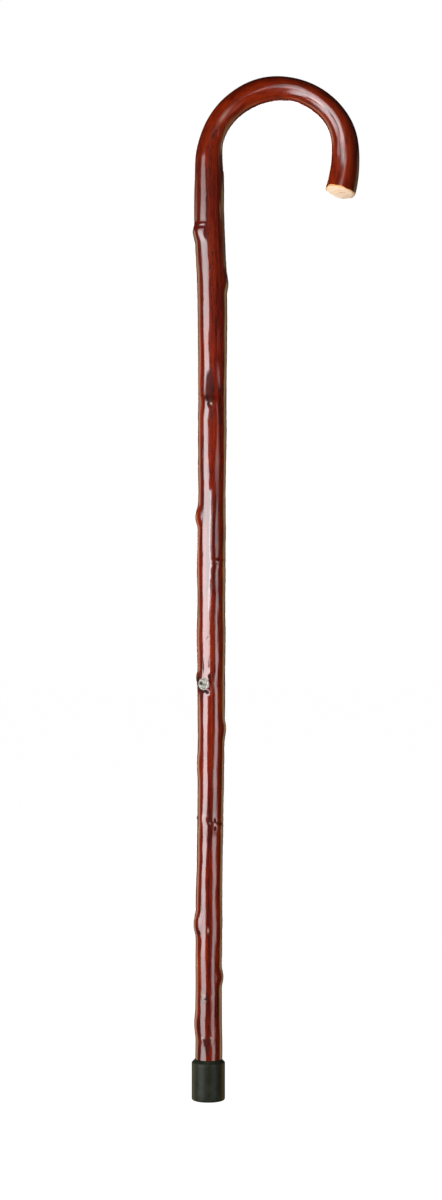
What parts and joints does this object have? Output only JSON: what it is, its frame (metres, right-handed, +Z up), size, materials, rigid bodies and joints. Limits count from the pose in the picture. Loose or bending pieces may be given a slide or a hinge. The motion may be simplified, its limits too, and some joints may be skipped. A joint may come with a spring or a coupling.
{
  "type": "crook walking stick",
  "caption": "Crook-handled walking stick: one knotty varnished pole bent to a hook, its nose cut to bare wood, with a push-on rubber ferrule over a steel washer.",
  "frame": {"origin": "centre of the ferrule's sole, on the ground", "axes": "+Z up along the pole, +X from the pole towards the nose of the crook, -Y towards the front, so the crook lies in the XZ plane"},
  "size_m": [0.1511, 0.0309, 0.9209],
  "materials": {
    "varnished_wood": "gloss varnish over stained bark",
    "rubber": "satin",
    "steel": "plain"
  },
  "bodies": {
    "stick": {"stick": "varnished_wood"},
    "ferrule": {"ferrule": "rubber", "ferrule_washer": "steel"}
  },
  "joints": [
    {"name": "ferrule_pull_off", "type": "slide", "parent": "stick", "child": "ferrule", "axis": [0, 0, -1], "range_m": [0, 0.045]}
  ]
}
